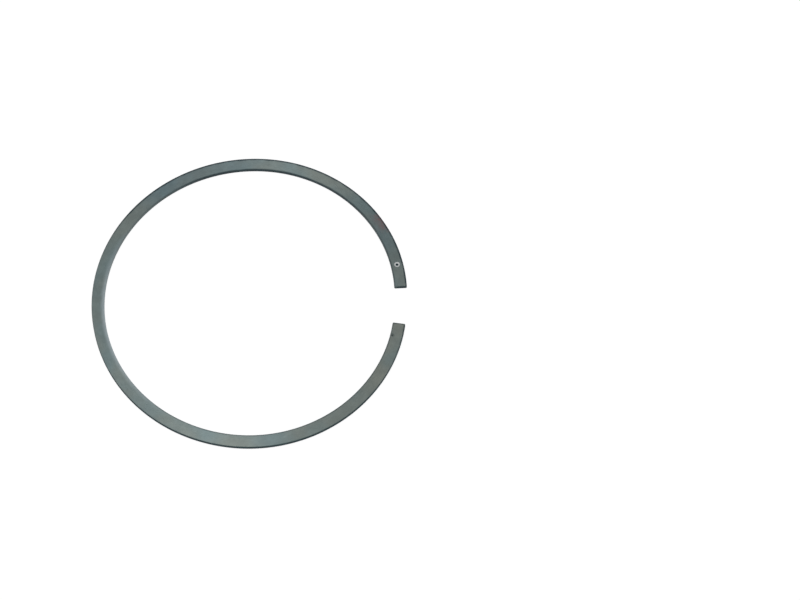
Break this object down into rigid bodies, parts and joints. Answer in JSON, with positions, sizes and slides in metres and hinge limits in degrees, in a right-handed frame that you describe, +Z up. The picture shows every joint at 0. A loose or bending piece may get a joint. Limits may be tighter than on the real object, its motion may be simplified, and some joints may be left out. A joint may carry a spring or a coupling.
{
  "type": "piston ring",
  "caption": "Open split compression ring of rectangular section with a slightly tapered running face; it springs outward against a cylinder bore and seals a piston.",
  "frame": {"origin": "middle of the open ring's outline, on its lower side face", "axes": "+Z up through the ring, towards the marked side; +X towards the gap; Y across the ring, along its longest extent"},
  "size_m": [0.0882, 0.0902, 0.0012],
  "materials": {
    "ring_iron": "satin grey, lapped side faces with a dark phosphated skin on the walls and edges"
  },
  "bodies": {
    "root": {"piston_ring": "ring_iron"}
  },
  "joints": []
}
